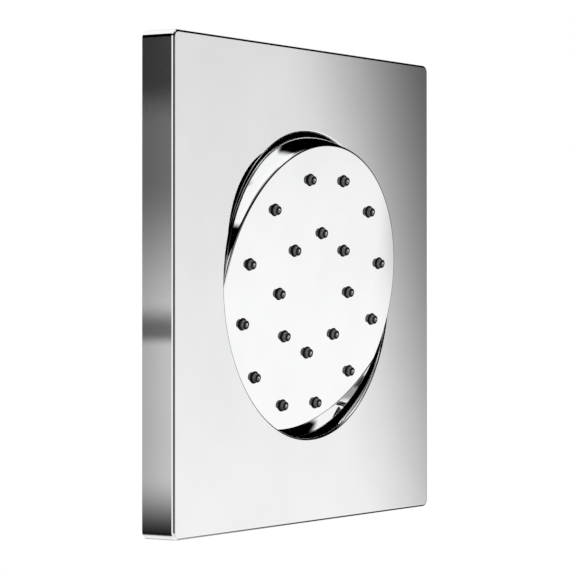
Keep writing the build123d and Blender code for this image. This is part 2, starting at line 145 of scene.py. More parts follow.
class HeadSizes(bpy.types.PropertyGroup):
    """Sizes of the round spray head, from the ball's centre."""

    radius: length("Radius", "Outer radius of the spray disc", 40.0)
    face: length("Face distance", "From the ball's centre to the disc's rim", 12.0)
    crown: length("Crown", "Rise of the disc's middle above its rim", 1.0)
    skirt: length("Skirt", "Depth of the disc's side", 9.0)
    face_wall: length("Face wall", "Thickness of the disc", 1.0)
    skirt_wall: length("Skirt wall", "Thickness of the disc's side", 1.4)
    side_ball: length("Side radius", "Radius of the ball that the disc's side follows", 41.6)
    edge: length("Edge radius", "Rounding of the disc's front edge", 0.7)
    spin: angle("Resting spin", "Turn of the head about its own axis at rest", -0.85)
    outer_groups: whole("Outer groups", "Groups of three nozzles on the outer ring", 4)
    outer_step: angle("Outer step", "Angle between the nozzles of a group", 30.5)
    outer_ring: length("Outer ring", "Radius of the outer ring of nozzles", 31.3)
    inner_count: whole("Inner nozzles", "Nozzles on the inner ring", 8)
    inner_ring: length("Inner ring", "Radius of the inner ring of nozzles", 16.2)
    hole: length("Nozzle hole", "Radius of the holes in the disc", 1.7)
    base: length("Nozzle base", "Radius of each nozzle's collar", 1.6)
    base_high: length("Collar height", "Height of each nozzle's collar above the disc", 0.32)
    root: length("Nozzle root", "Radius of the nozzle above its collar", 1.22)
    tip: length("Nozzle tip", "Radius of the nozzle's tip", 1.18)
    high: length("Nozzle height", "Height of the nozzle above the disc", 1.4)
    mouth: length("Mouth", "Radius of the shallow dish in the nozzle's end", 0.42)
    orifice: length("Orifice", "Radius of the nozzle's water hole", 0.22)
    mat: length("Mat thickness", "Thickness of the soft sheet behind the disc", 0.8)
    mat_gap: length("Mat gap", "Gap round the soft sheet", 0.4)


class InletSizes(bpy.types.PropertyGroup):
    """Sizes of the inlet nipple and its filter."""

    thread: length("Thread radius", "Outer radius of the inlet thread", 10.48)
    thread_deep: length("Thread depth", "Depth of the inlet thread", 1.0)
    thread_long: length("Thread length", "Length of the inlet thread", 11.0)
    pitch: length("Thread pitch", "Distance between turns", 1.814)
    shank: length("Shank radius", "Radius of the shank under the lock nut", 12.0)
    flange: length("Flange radius", "Radius of the flange inside the cup", 15.0)
    flange_thick: length("Flange thickness", "Thickness of the flange", 2.0)
    bore: length("Bore radius", "Radius of the water bore at the mouth", 8.0)
    front_bore: length("Front bore", "Radius of the bore for the stem", 4.4)
    chamfer: length("Mouth chamfer", "Chamfer of the nipple's mouth", 0.8)
    wire: length("Gauze wire", "Radius of the filter's wires", 0.12)
    wires: whole("Gauze wires", "Wires each way across the filter", 17)
    filter_rim: length("Filter rim", "Width of the filter's rim", 1.8)
    filter_thick: length("Filter thickness", "Thickness of the filter's rim", 1.6)
    filter_rise: length("Filter rise", "Rise of the filter's dome", 2.4)
    filter_wall: length("Filter wall", "Thickness of the filter's dome", 0.6)


class Finishes(bpy.types.PropertyGroup):
    """Colours of the finishes."""

    chrome: colour("Chrome", "Mirror chrome plating", (0.95, 0.953, 0.957))
    nozzle: colour("Nozzle", "Soft dark nozzle moulding", (0.007, 0.007, 0.008))
    tip: colour("Nozzle tip", "Glossy nozzle tips", (0.85, 0.85, 0.86))
    plastic: colour("Black plastic", "Moulded cup and shell", (0.035, 0.036, 0.038))
    bearing: colour("Bearing plastic", "Bearing rings and jet plate", (0.62, 0.61, 0.57))
    limiter: colour("Limiter", "Flow limiter", (0.08, 0.22, 0.42))
    rubber: colour("Seal rubber", "Seals and washers", (0.02, 0.02, 0.021))
    foam: colour("Foam", "Wall gasket", (0.035, 0.035, 0.036))
    steel: colour("Steel", "Sheet steel and screws", (0.6, 0.61, 0.62))
    brass: colour("Brass", "Turned brass", (0.78, 0.57, 0.26))


class StageSettings(bpy.types.PropertyGroup):
    """Camera, floor and lamps."""

    azimuth: angle("Azimuth", "Camera's turn round the object; 0 faces the front", -57.215)
    elevation: angle("Elevation", "Camera's height angle", -0.183)
    distance: length("Distance", "Camera to target", 688.4)
    target: FloatVectorProperty(
        name="Target", description="Point at the picture's middle",
        default=(-5.461 * MM, -5.0 * MM, 0.072 * MM), subtype="TRANSLATION")
    lens: FloatProperty(name="Lens", description="Focal length in millimetres on 36 mm", default=162.63)
    floor_drop: length("Floor drop", "From the object's middle down to the floor", 300.0)
    floor_radius: length("Floor radius", "Radius of the pale floor", 420.0)
    dome: length("Flag distance", "Distance of the reflection flags", 30000.0)


# Mesh building: patches with exact normals, welded into one closed skin


class Skin:
    """Patches of points with their exact normals, welded by place."""

    def __init__(self):
        self.points = []
        self.places = {}
        self.faces = []
        self.normals = []

    def corner(self, point):
        """Number of the point at this place, made if it is new."""
        key = tuple(round(value * WELD) for value in point)
        if key not in self.places:
            self.places[key] = len(self.points)
            self.points.append(tuple(point))
        return self.places[key]

    def face(self, corners):
        """One face from (point, normal) pairs; the winding follows the normals."""
        kept = []
        for point, normal in corners:
            index = self.corner(point)
            if index not in [k[0] for k in kept]:
                kept.append((index, Vector(normal)))
        if len(kept) < 3:
            return
        a, b, c = (Vector(self.points[k[0]]) for k in kept[:3])
        facing = (b - a).cross(c - a)
        if len(kept) > 3:
            facing += (c - a).cross(Vector(self.points[kept[3][0]]) - a)
        if facing.length < NO_AREA:
            return
        if facing.dot(sum((k[1] for k in kept), Vector())) < 0:
            kept.reverse()
        self.faces.append([k[0] for k in kept])
        self.normals.extend(k[1].normalized() for k in kept)

    def grid(self, rows, closed=False):
        """Quads between rows of (point, normal) pairs."""
        for low, high in zip(rows, rows[1:]):
            count = len(low)
            for k in range(count if closed else count - 1):
                n = (k + 1) % count
                self.face([low[k], low[n], high[n], high[k]])

    def patch(self, loops, inside, place):
        """A patch inside the first flat loop, less the other loops; place gives a point and its normal."""
        flat_points = [Vector(p) / MM for loop in loops for p in loop]
        edges = []
        rings = []
        start = 0
        for loop in loops:
            ring = list(range(start, start + len(loop)))
            turns = sum(flat_points[ring[k - 1]].cross(flat_points[ring[k]]) for k in range(len(ring)))
            if turns < 0:
                ring.reverse()
            edges += [(ring[k - 1], ring[k]) for k in range(len(ring))]
            rings.append(ring)
            start += len(loop)
        flat_points += [Vector(p) / MM for p in inside]
        corners = [place(*p) for loop in loops for p in loop] + [place(*p) for p in inside]
        inside_only, apart = 1, 1e-6
        _, _, triangles, origins, _, owners = delaunay_2d_cdt(flat_points, edges, rings, inside_only, apart)
        for triangle, within in zip(triangles, owners):
            if list(within) == [0]:
                self.face([corners[origins[i][0]] for i in triangle])

    def flat(self, loops, normal):
        """A flat patch inside the first loop of points, less the other loops."""
        normal = Vector(normal).normalized()
        across = normal.orthogonal().normalized()
        along = normal.cross(across)
        base = Vector(loops[0][0])
        level = [[((Vector(p) - base).dot(across), (Vector(p) - base).dot(along)) for p in loop]
                 for loop in loops]
        exact = {spot: p for row, loop in zip(level, loops) for spot, p in zip(row, loop)}
        self.patch(level, [], lambda u, v: (exact[(u, v)], normal))

    def build(self, name):
        """A smooth mesh with the patches' exact normals."""
        mesh = bpy.data.meshes.new(name)
        mesh.from_pydata(self.points, [], self.faces)
        mesh.polygons.foreach_set("use_smooth", [True] * len(mesh.polygons))
        mesh.normals_split_custom_set([tuple(n) for n in self.normals])
        mesh.update()
        return mesh


def straight(start, end):
    """A straight run of an outline that goes counter-clockwise in (radius, y)."""
    (r0, y0), (r1, y1) = start, end
    out = Vector((y1 - y0, r0 - r1)).normalized()
    return [(r0, y0, out.x, out.y), (r1, y1, out.x, out.y)]


def spread(start, end, steps):
    """Even values from start to end, both included."""
    return [start + (end - start) * k / steps for k in range(steps + 1)]


def bend(centre, radius, start, end, steps):
    """A round run of an outline, from one angle to another."""
    side = 1 if end > start else -1
    return [(centre[0] + radius * math.cos(a), centre[1] + radius * math.sin(a),
             side * math.cos(a), side * math.sin(a)) for a in spread(start, end, steps)]


def rounded_outline(corners, steps=4):
    """Runs of a closed counter-clockwise outline of (radius, y, rounding) corners."""
    count = len(corners)
    places = [Vector(c[:2]) for c in corners]
    ends = []
    arcs = []
    for k in range(count):
        here, before, after = places[k], places[k - 1], places[(k + 1) % count]
        into = (here - before).normalized()
        away = (after - here).normalized()
        turn = math.atan2(into.x * away.y - into.y * away.x, into.dot(away))
        radius = corners[k][2]
        if radius <= 0 or abs(turn) < NO_TURN:
            ends.append((here, here))
            arcs.append([])
            continue
        reach = radius * math.tan(abs(turn) / 2)
        first = here - into * reach
        last = here + away * reach
        side = 1 if turn > 0 else -1
        centre = first + Vector((-into.y, into.x)) * radius * side
        start = math.atan2(first.y - centre.y, first.x - centre.x)
        arcs.append(bend(centre, radius, start, start + turn, steps))
        ends.append((first, last))
    runs = []
    for k in range(count):
        if arcs[k]:
            runs.append(arcs[k])
        nxt = (k + 1) % count
        if (ends[nxt][0] - ends[k][1]).length > NEAR:
            runs.append(straight(ends[k][1], ends[nxt][0]))
    return runs


def turn_runs(skin, runs, steps, place):
    """Revolve runs of an outline about the Y axis into the skin, put in place."""
    spin = place.to_3x3()
    turns = [(math.cos(FULL * k / steps), math.sin(FULL * k / steps)) for k in range(steps)]
    for run in runs:
        rows = []
        for r, y, nr, ny in run:
            rows.append([(place @ Vector((r * c, y, r * s)), spin @ Vector((nr * c, ny, nr * s)))
                         for c, s in turns])
        skin.grid(rows, closed=True)


def circle(radius, steps, centre=(0.0, 0.0)):
    """Flat points of a circle."""
    turns = [FULL * k / steps for k in range(steps)]
    return [Vector((centre[0] + radius * math.cos(a), centre[1] + radius * math.sin(a))) for a in turns]


def add_object(name, data):
    """A new object in the scene."""
    thing = bpy.data.objects.new(name, data)
    bpy.context.scene.collection.objects.link(thing)
    return thing


def turned(name, runs, steps):
    """An object turned about the Z axis from runs of an outline."""
    skin = Skin()
    turn_runs(skin, runs, steps, STAND_UP)
    return add_object(name, skin.build(name))


def settle(thing, body, slot, *nodes):
    """Ride on a body and stand for CAD nodes; the slot argument is not used."""
    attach(thing, body)
    if nodes:
        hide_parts(*nodes)
    return thing


def head_place(sizes):
    """The head's own frame at rest: ball's centre, tilt axis, spin axis."""
    pivot = Vector(JOINTS["head_spin"]["pos_m"])
    along = Vector(JOINTS["head_spin"]["axis"]).normalized()
    across = Vector(JOINTS["head_tilt"]["axis"]).normalized()
    up = across.cross(along).normalized()
    turned = Matrix((across, along, up)).transposed().to_4x4()
    return Matrix.Translation(pivot) @ turned @ Matrix.Rotation(sizes.spin, 4, "Y")


# Node helpers


def new_group(name, kind, inputs, outputs):
    """A node group with named sockets; returns it with its input and output nodes."""
    group = bpy.data.node_groups.new(name, kind)
    for label, socket, default in inputs:
        item = group.interface.new_socket(name=label, in_out="INPUT", socket_type=f"NodeSocket{socket}")
        if default is not None:
            item.default_value = default
    for label, socket in outputs:
        group.interface.new_socket(name=label, in_out="OUTPUT", socket_type=f"NodeSocket{socket}")
    start = group.nodes.new("NodeGroupInput")
    end = group.nodes.new("NodeGroupOutput")
    return group, start, end


def connect(tree, node, links):
    """Link a node's inputs, by name or number, to sockets, or set them to values."""
    for key, value in links.items():
        if isinstance(value, bpy.types.NodeSocket):
            tree.links.new(value, node.inputs[key])
        else:
            node.inputs[key].default_value = value


def add_node(tree, kind, links=None, **settings):
    """A node with its settings and what its inputs get."""
    node = tree.nodes.new(kind)
    for key, value in settings.items():
        setattr(node, key, value)
    connect(tree, node, links or {})
    return node


def maths(tree, operation, *values):
    """Result of one sum on sockets or values."""
    return add_node(tree, "ShaderNodeMath", dict(enumerate(values)), operation=operation).outputs[0]


def ease(tree, value, low, high, start=0.0, end=1.0):
    """Smooth step of a value from low to high."""
    node = add_node(tree, "ShaderNodeMapRange", {"Value": value, "From Min": low, "From Max": high,
                                                 "To Min": start, "To Max": end},
                    interpolation_type="SMOOTHSTEP")
    return node.outputs["Result"]


def between(tree, share, low, high):
    """Value between low and high by a share."""
    node = add_node(tree, "ShaderNodeMapRange", {"Value": share, "To Min": low, "To Max": high})
    return node.outputs["Result"]


def mix_colours(tree, share, first, second):
    """Colour between two colours by a share."""
    node = add_node(tree, "ShaderNodeMix", {0: share, 6: first, 7: second}, data_type="RGBA")
    return node.outputs[2]


def mix_values(tree, share, first, second):
    """Value between two values by a share."""
    node = add_node(tree, "ShaderNodeMix", {0: share, 2: first, 3: second}, data_type="FLOAT")
    return node.outputs[0]


def noise(tree, place, scale, detail):
    """Value of a noise pattern at a place."""
    node = add_node(tree, "ShaderNodeTexNoise", {"Vector": place, "Scale": scale, "Detail": detail})
    return node.outputs["Fac"]


def own_place(tree):
    """Place on the object."""
    return add_node(tree, "ShaderNodeTexCoord").outputs["Object"]


def wander(group, start, end, cloud):
    """Put out a colour and a roughness that wander between the group's two of each."""
    amount = ease(group, cloud, *CLOUD)
    connect(group, end, {
        "Roughness": between(group, amount, start.outputs["Smooth"], start.outputs["Rough"]),
        "Colour": mix_colours(group, amount, start.outputs["Colour"], start.outputs["Shade"])})


def polish_group():
    """Soft wander of polish: roughness between two values and a faint tone."""
    group, start, end = new_group(
        "Polish Wander", "ShaderNodeTree",
        [("Scale", "Float", 60.0), ("Smooth", "Float", 0.02), ("Rough", "Float", 0.04),
         ("Colour", "Color", (0.9, 0.9, 0.9, 1)), ("Shade", "Color", (0.85, 0.85, 0.85, 1))],
        [("Roughness", "Float"), ("Colour", "Color")])
    wander(group, start, end, noise(group, own_place(group), start.outputs["Scale"], detail=4.0))
    return group


def grain_group():
    """Fine moulded grain: a height, a mottled colour and its roughness."""
    group, start, end = new_group(
        "Moulded Grain", "ShaderNodeTree",
        [("Scale", "Float", 2500.0), ("Mottle", "Float", 90.0), ("Colour", "Color", (0.1, 0.1, 0.1, 1)),
         ("Shade", "Color", (0.2, 0.2, 0.2, 1)), ("Smooth", "Float", 0.35), ("Rough", "Float", 0.5)],
        [("Height", "Float"), ("Colour", "Color"), ("Roughness", "Float")])
    place = own_place(group)
    connect(group, end, {"Height": noise(group, place, start.outputs["Scale"], detail=2.0)})
    wander(group, start, end, noise(group, place, start.outputs["Mottle"], detail=5.0))
    return group


def tool_mark_group():
    """Fine rings left by turning about the Y axis, or straight brushed lines."""
    group, start, end = new_group(
        "Tool Marks", "ShaderNodeTree", [("Spacing", "Float", 900.0), ("Turned", "Float", 1.0)],
        [("Height", "Float")])
    parts = add_node(group, "ShaderNodeSeparateXYZ", {0: own_place(group)})
    x, y, z = (parts.outputs[axis] for axis in "XYZ")
    square = maths(group, "ADD", maths(group, "POWER", x, 2.0), maths(group, "POWER", z, 2.0))
    rings = maths(group, "ADD", maths(group, "SQRT", square), y)
    drawn_out = 0.01
    stretched = add_node(group, "ShaderNodeCombineXYZ", {
        "X": maths(group, "MULTIPLY", x, drawn_out),
        "Z": mix_values(group, start.outputs["Turned"], z, rings)})
    lines = noise(group, stretched.outputs[0], start.outputs["Spacing"], detail=3.0)
    connect(group, end, {"Height": lines})
    return group


def shade_of(rgb, share):
    """A colour made darker or paler."""
    return tuple(value * share for value in rgb)


def new_material(name):
    """A material with its node tree and its surface node."""
    material = bpy.data.materials.new(name)
    material.use_nodes = True
    tree = material.node_tree
    return material, tree, tree.nodes["Principled BSDF"]


def use_group(tree, group, values):
    """A shader group placed in a material with its own values."""
    return add_node(tree, "ShaderNodeGroup", values, node_tree=group)


def use_polish(tree, groups, rgb, shade, smooth, rough, scale):
    """The polish group for a colour and the shade of its duller spots."""
    return use_group(tree, groups["polish"], {
        "Scale": scale, "Smooth": smooth, "Rough": rough,
        "Colour": (*rgb, 1.0), "Shade": (*shade_of(rgb, shade), 1.0)})


def use_grain(tree, groups, rgb, smooth, rough, scale):
    """The grain group for a moulded colour."""
    return use_group(tree, groups["grain"], {
        "Scale": scale, "Mottle": MOTTLE, "Smooth": smooth, "Rough": rough,
        "Colour": (*rgb, 1.0), "Shade": (*shade_of(rgb, GRAIN_LIFT), 1.0)})


def raise_height(tree, surface, height, strength, distance):
    """Bump a surface by a height."""
    bump = add_node(tree, "ShaderNodeBump", {"Height": height, "Strength": strength, "Distance": distance})
    connect(tree, surface, {"Normal": bump.outputs["Normal"]})


def polished_metal(name, groups, rgb, smooth, rough, scale, marks):
    """Metal with a polish that wanders a little, with or without tool marks."""
    material, tree, surface = new_material(name)
    polish = use_polish(tree, groups, rgb, METAL_SHADE, smooth, rough, scale)
    connect(tree, surface, {"Metallic": 1.0, "Base Color": polish.outputs["Colour"],
                            "Roughness": polish.outputs["Roughness"]})
    if marks:
        spacing, turning, strength = marks
        lines = use_group(tree, groups["marks"], {"Spacing": spacing, "Turned": turning})
        raise_height(tree, surface, lines.outputs["Height"], strength, MARK_DEPTH)
    return material


def moulded(name, groups, rgb, smooth, rough, scale, strength):
    """Plastic, rubber or foam with moulded grain."""
    material, tree, surface = new_material(name)
    grain = use_grain(tree, groups, rgb, smooth, rough, scale)
    connect(tree, surface, {"Base Color": grain.outputs["Colour"], "Roughness": grain.outputs["Roughness"]})
    raise_height(tree, surface, grain.outputs["Height"], strength, GRAIN_DEPTH)
    return material


def nozzle_finish(name, groups, rgb, tip_rgb):
    """Dark soft collars with glossy tips, told apart by the tip attribute of the nozzles."""
    material, tree, surface = new_material(name)
    grain = use_grain(tree, groups, rgb, smooth=0.16, rough=0.28, scale=3000.0)
    gloss = use_polish(tree, groups, tip_rgb, TIP_SHADE, smooth=0.05, rough=0.1, scale=300.0)
    tip = add_node(tree, "ShaderNodeAttribute", attribute_name="tip").outputs["Fac"]
    connect(tree, surface, {
        "Base Color": mix_colours(tree, tip, grain.outputs["Colour"], gloss.outputs["Colour"]),
        "Roughness": mix_values(tree, tip, grain.outputs["Roughness"], gloss.outputs["Roughness"]),
        "Metallic": tip, "Specular IOR Level": 0.06})
    return material


MATERIALS = {}


def make_materials(finish):
    """One material for each slot of the record."""
    groups = {"polish": polish_group(), "grain": grain_group(), "marks": tool_mark_group()}
    chrome = tuple(finish.chrome)
    steel = tuple(finish.steel)
    brass = tuple(finish.brass)
    # colour, roughness from and to, scale, tool marks as (spacing, turned, strength)
    metal = {
        "plate_chrome": (chrome, 0.012, 0.022, 45.0, None),
        "face_chrome": (chrome, 0.012, 0.022, 60.0, None),
        "stem_chrome": (chrome, 0.05, 0.09, 120.0, None),
        "bracket_steel": (steel, 0.28, 0.4, 40.0, (2600.0, 0.0, 0.35)),
        "set_screw_steel": (shade_of(steel, 0.7), 0.3, 0.42, 400.0, None),
        "cup_screw_steel": (steel, 0.25, 0.35, 400.0, None),
        "head_screw_steel": (steel, 0.25, 0.35, 400.0, None),
        "filter_steel": (shade_of(steel, 0.95), 0.25, 0.4, 500.0, None),
        "nipple_brass": (brass, 0.18, 0.3, 180.0, (3200.0, 1.0, 0.3)),
        "locknut_brass": (shade_of(brass, 0.94), 0.2, 0.34, 160.0, (3000.0, 1.0, 0.3)),
        "nut_brass": (brass, 0.2, 0.3, 160.0, (3000.0, 1.0, 0.3)),
    }
    for name, values in metal.items():
        MATERIALS[name] = polished_metal(name, groups, *values)
    # colour, roughness from and to, scale and strength of the grain
    soft = {
        "cup_plastic": (tuple(finish.plastic), 0.42, 0.58, 1800.0, 0.25),
        "shell_plastic": (tuple(finish.plastic), 0.4, 0.55, 1800.0, 0.25),
        "ring_plastic": (tuple(finish.bearing), 0.3, 0.45, 1500.0, 0.15),
        "jet_plastic": (tuple(finish.bearing), 0.35, 0.5, 1500.0, 0.15),
        "limiter_plastic": (tuple(finish.limiter), 0.2, 0.3, 1500.0, 0.1),
        "washer_rubber": (tuple(finish.rubber), 0.5, 0.7, 2000.0, 0.3),
        "seal_rubber": (tuple(finish.rubber), 0.4, 0.6, 2000.0, 0.2),
        "gasket_foam": (tuple(finish.foam), 0.8, 0.95, 900.0, 0.9),
    }
    for name, values in soft.items():
        MATERIALS[name] = moulded(name, groups, *values)
    MATERIALS["nozzle_rubber"] = nozzle_finish(
        "nozzle_rubber", groups, tuple(finish.nozzle), tuple(finish.tip))


def dress_nodes():
    """Give every CAD node the material of its record slot."""
    for part in frame["record"]["subparts"]:
        node = NODES[part["node"]]
        node.data.materials.clear()
        node.data.materials.append(MATERIALS[part["material_slot"]])


# Geometry node trees


def to_mesh(thing, name):
    """The evaluated object as a plain mesh object; the source object goes."""
    bpy.context.view_layer.update()
    result = bpy.data.meshes.new_from_object(thing.evaluated_get(bpy.context.evaluated_depsgraph_get()))
    source = thing.data
    bpy.data.objects.remove(thing)
    bpy.data.meshes.remove(source)
    result.name = name
    return add_object(name, result)


def set_inputs(modifier, values):
    """Set a node modifier's inputs by socket identifier."""
    for item in modifier.node_group.interface.items_tree:
        if item.item_type == "SOCKET" and item.in_out == "INPUT" and item.name in values:
            modifier[item.identifier] = values[item.name]


def grow(thing, tree, values, name, place):
    """Run a node tree on an object; its plain mesh, put in place, becomes the piece."""
    modifier = thing.modifiers.new(tree.name, "NODES")
    modifier.node_group = tree
    set_inputs(modifier, values)
    piece = to_mesh(thing, name)
    piece.data.transform(place)
    piece.data.set_sharp_from_angle(angle=SHARP)
    return piece


def along_z(group, value):
    """A vector along Z."""
    return add_node(group, "ShaderNodeCombineXYZ", {"Z": value}).outputs[0]


def sweep(group, curve, radius):
    """A six-sided wire along a curve, closed at its ends."""
    profile = add_node(group, "GeometryNodeCurvePrimitiveCircle", {"Resolution": 6, "Radius": radius})
    wire = add_node(group, "GeometryNodeCurveToMesh", {
        "Curve": curve, "Profile Curve": profile.outputs["Curve"], "Fill Caps": True})
    return wire.outputs["Mesh"]


def end_tree(group, start, end, join, base):
    """Join the base too, make all of it real, give it its material and put it out."""
    group.links.new(start.outputs[base], join.inputs["Geometry"])
    solid = add_node(group, "GeometryNodeRealizeInstances", {"Geometry": join.outputs["Geometry"]})
    painted = add_node(group, "GeometryNodeSetMaterial", {
        "Geometry": solid.outputs["Geometry"], "Material": start.outputs["Material"]})
    group.links.new(painted.outputs["Geometry"], end.inputs["Geometry"])
    return group


def nozzle_field_tree():
    """Nozzles in groups of three on an outer ring and evenly on an inner ring, joined to their plate."""
    group, start, end = new_group(
        "Nozzle Field", "GeometryNodeTree",
        [("Plate", "Geometry", None), ("Nozzle", "Object", None), ("Outer Groups", "Int", 4),
         ("Outer Step", "Float", 0.5), ("Outer Radius", "Float", 0.03), ("Outer Turn", "Float", 0.0),
         ("Outer Rise", "Float", 0.0), ("Inner Count", "Int", 8), ("Inner Radius", "Float", 0.016),
         ("Inner Rise", "Float", 0.0), ("Material", "Material", None)],
        [("Geometry", "Geometry")])
    form = add_node(group, "GeometryNodeObjectInfo", {"Object": start.outputs["Nozzle"]})
    join = add_node(group, "GeometryNodeJoinGeometry")
    step = start.outputs["Outer Step"]
    turn = start.outputs["Outer Turn"]
    rings = [("Outer Groups", "Outer", maths(group, "SUBTRACT", turn, step)),
             ("Outer Groups", "Outer", turn),
             ("Outer Groups", "Outer", maths(group, "ADD", turn, step)),
             ("Inner Count", "Inner", 0.0)]
    for count, ring, spin in rings:
        places = add_node(group, "GeometryNodeMeshCircle", {
            "Vertices": start.outputs[count], "Radius": start.outputs[f"{ring} Radius"]})
        moved = add_node(group, "GeometryNodeTransform", {
            "Geometry": places.outputs["Mesh"], "Rotation": along_z(group, spin),
            "Translation": along_z(group, start.outputs[f"{ring} Rise"])})
        copies = add_node(group, "GeometryNodeInstanceOnPoints", {
            "Points": moved.outputs["Geometry"], "Instance": form.outputs["Geometry"]})
        group.links.new(copies.outputs["Instances"], join.inputs["Geometry"])
    return end_tree(group, start, end, join, "Plate")


def thread_tree():
    """A helical ridge that runs out at both ends, joined to its core."""
    group, start, end = new_group(
        "Inlet Thread", "GeometryNodeTree",
        [("Core", "Geometry", None), ("Turns", "Float", 6.0), ("Radius", "Float", 0.01),
         ("Height", "Float", 0.01), ("Start", "Float", 0.0), ("Ridge", "Float", 0.001),
         ("Material", "Material", None)],
        [("Geometry", "Geometry")])
    coil = add_node(group, "GeometryNodeCurveSpiral", {
        "Resolution": 72, "Rotations": start.outputs["Turns"], "Start Radius": start.outputs["Radius"],
        "End Radius": start.outputs["Radius"], "Height": start.outputs["Height"]})
    along = add_node(group, "GeometryNodeSplineParameter").outputs["Factor"]
    run_in, run_out = 0.12, 0.9
    swell = maths(group, "MULTIPLY", ease(group, along, 0.0, run_in),
                  ease(group, along, run_out, 1.0, 1.0, 0.0))
    shaped = add_node(group, "GeometryNodeSetCurveRadius", {"Curve": coil.outputs["Curve"], "Radius": swell})
    placed = add_node(group, "GeometryNodeTransform", {
        "Geometry": sweep(group, shaped.outputs["Curve"], start.outputs["Ridge"]),
        "Translation": along_z(group, start.outputs["Start"])})
    join = add_node(group, "GeometryNodeJoinGeometry", {"Geometry": placed.outputs["Geometry"]})
    return end_tree(group, start, end, join, "Core")


def gauze_tree():
    """Crossed wires over a dome's hollow side, joined to the dome."""
    group, start, end = new_group(
        "Filter Gauze", "GeometryNodeTree",
        [("Dome", "Geometry", None), ("Wires", "Int", 13), ("Reach", "Float", 0.006),
         ("Ball", "Float", 0.01), ("Middle", "Float", 0.0), ("Wire", "Float", 0.0001),
         ("Material", "Material", None)],
        [("Geometry", "Geometry")])
    span = maths(group, "MULTIPLY", start.outputs["Reach"], 2.0)
    net = add_node(group, "GeometryNodeMeshGrid", {
        "Size X": span, "Size Y": span, "Vertices X": start.outputs["Wires"],
        "Vertices Y": start.outputs["Wires"]})
    place = add_node(group, "GeometryNodeInputPosition")
    away = add_node(group, "ShaderNodeVectorMath", {0: place.outputs[0]}, operation="LENGTH").outputs["Value"]
    outside = add_node(group, "FunctionNodeCompare", {0: away, 1: start.outputs["Reach"]},
                       data_type="FLOAT", operation="GREATER_THAN")
    kept = add_node(group, "GeometryNodeDeleteGeometry", {
        "Geometry": net.outputs["Mesh"], "Selection": outside.outputs[0]})
    square = maths(group, "SUBTRACT", maths(group, "POWER", start.outputs["Ball"], 2.0),
                   maths(group, "POWER", away, 2.0))
    depth = maths(group, "SUBTRACT", start.outputs["Middle"], maths(group, "SQRT", square))
    bowl = add_node(group, "GeometryNodeSetPosition", {
        "Geometry": kept.outputs["Geometry"], "Offset": along_z(group, depth)})
    lines = add_node(group, "GeometryNodeMeshToCurve", {"Mesh": bowl.outputs["Geometry"]})
    wires = sweep(group, lines.outputs["Curve"], start.outputs["Wire"])
    join = add_node(group, "GeometryNodeJoinGeometry", {"Geometry": wires})
    return end_tree(group, start, end, join, "Dome")


# Pieces


def plate_columns(sizes):
    """Stations round the square's outline: (x, z, outward x, outward z, on the straight foot)."""
    inner = sizes.half - sizes.corner
    stations = []
    per_side = 72
    corner_steps = 8
    sides = [((1, 0), (0, 1)), ((0, 1), (-1, 0)), ((-1, 0), (0, -1)), ((0, -1), (1, 0))]
    for out, run in sides:
        at_foot = out == (0, -1)
        spots = [-inner + 2 * inner * k / per_side for k in range(per_side + 1)]
        if at_foot:
            spots = sorted(set(spots) | {-sizes.drain_half, sizes.drain_half})
        for s in spots:
            stations.append((out[0] * sizes.half + run[0] * s, out[1] * sizes.half + run[1] * s,
                             out[0], out[1], at_foot))
        centre = (out[0] * inner + run[0] * inner, out[1] * inner + run[1] * inner)
        first = math.atan2(out[1], out[0])
        for k in range(1, corner_steps):
            a = first + QUARTER * k / corner_steps
            stations.append((centre[0] + sizes.corner * math.cos(a), centre[1] + sizes.corner * math.sin(a),
                             math.cos(a), math.sin(a), False))
    return stations


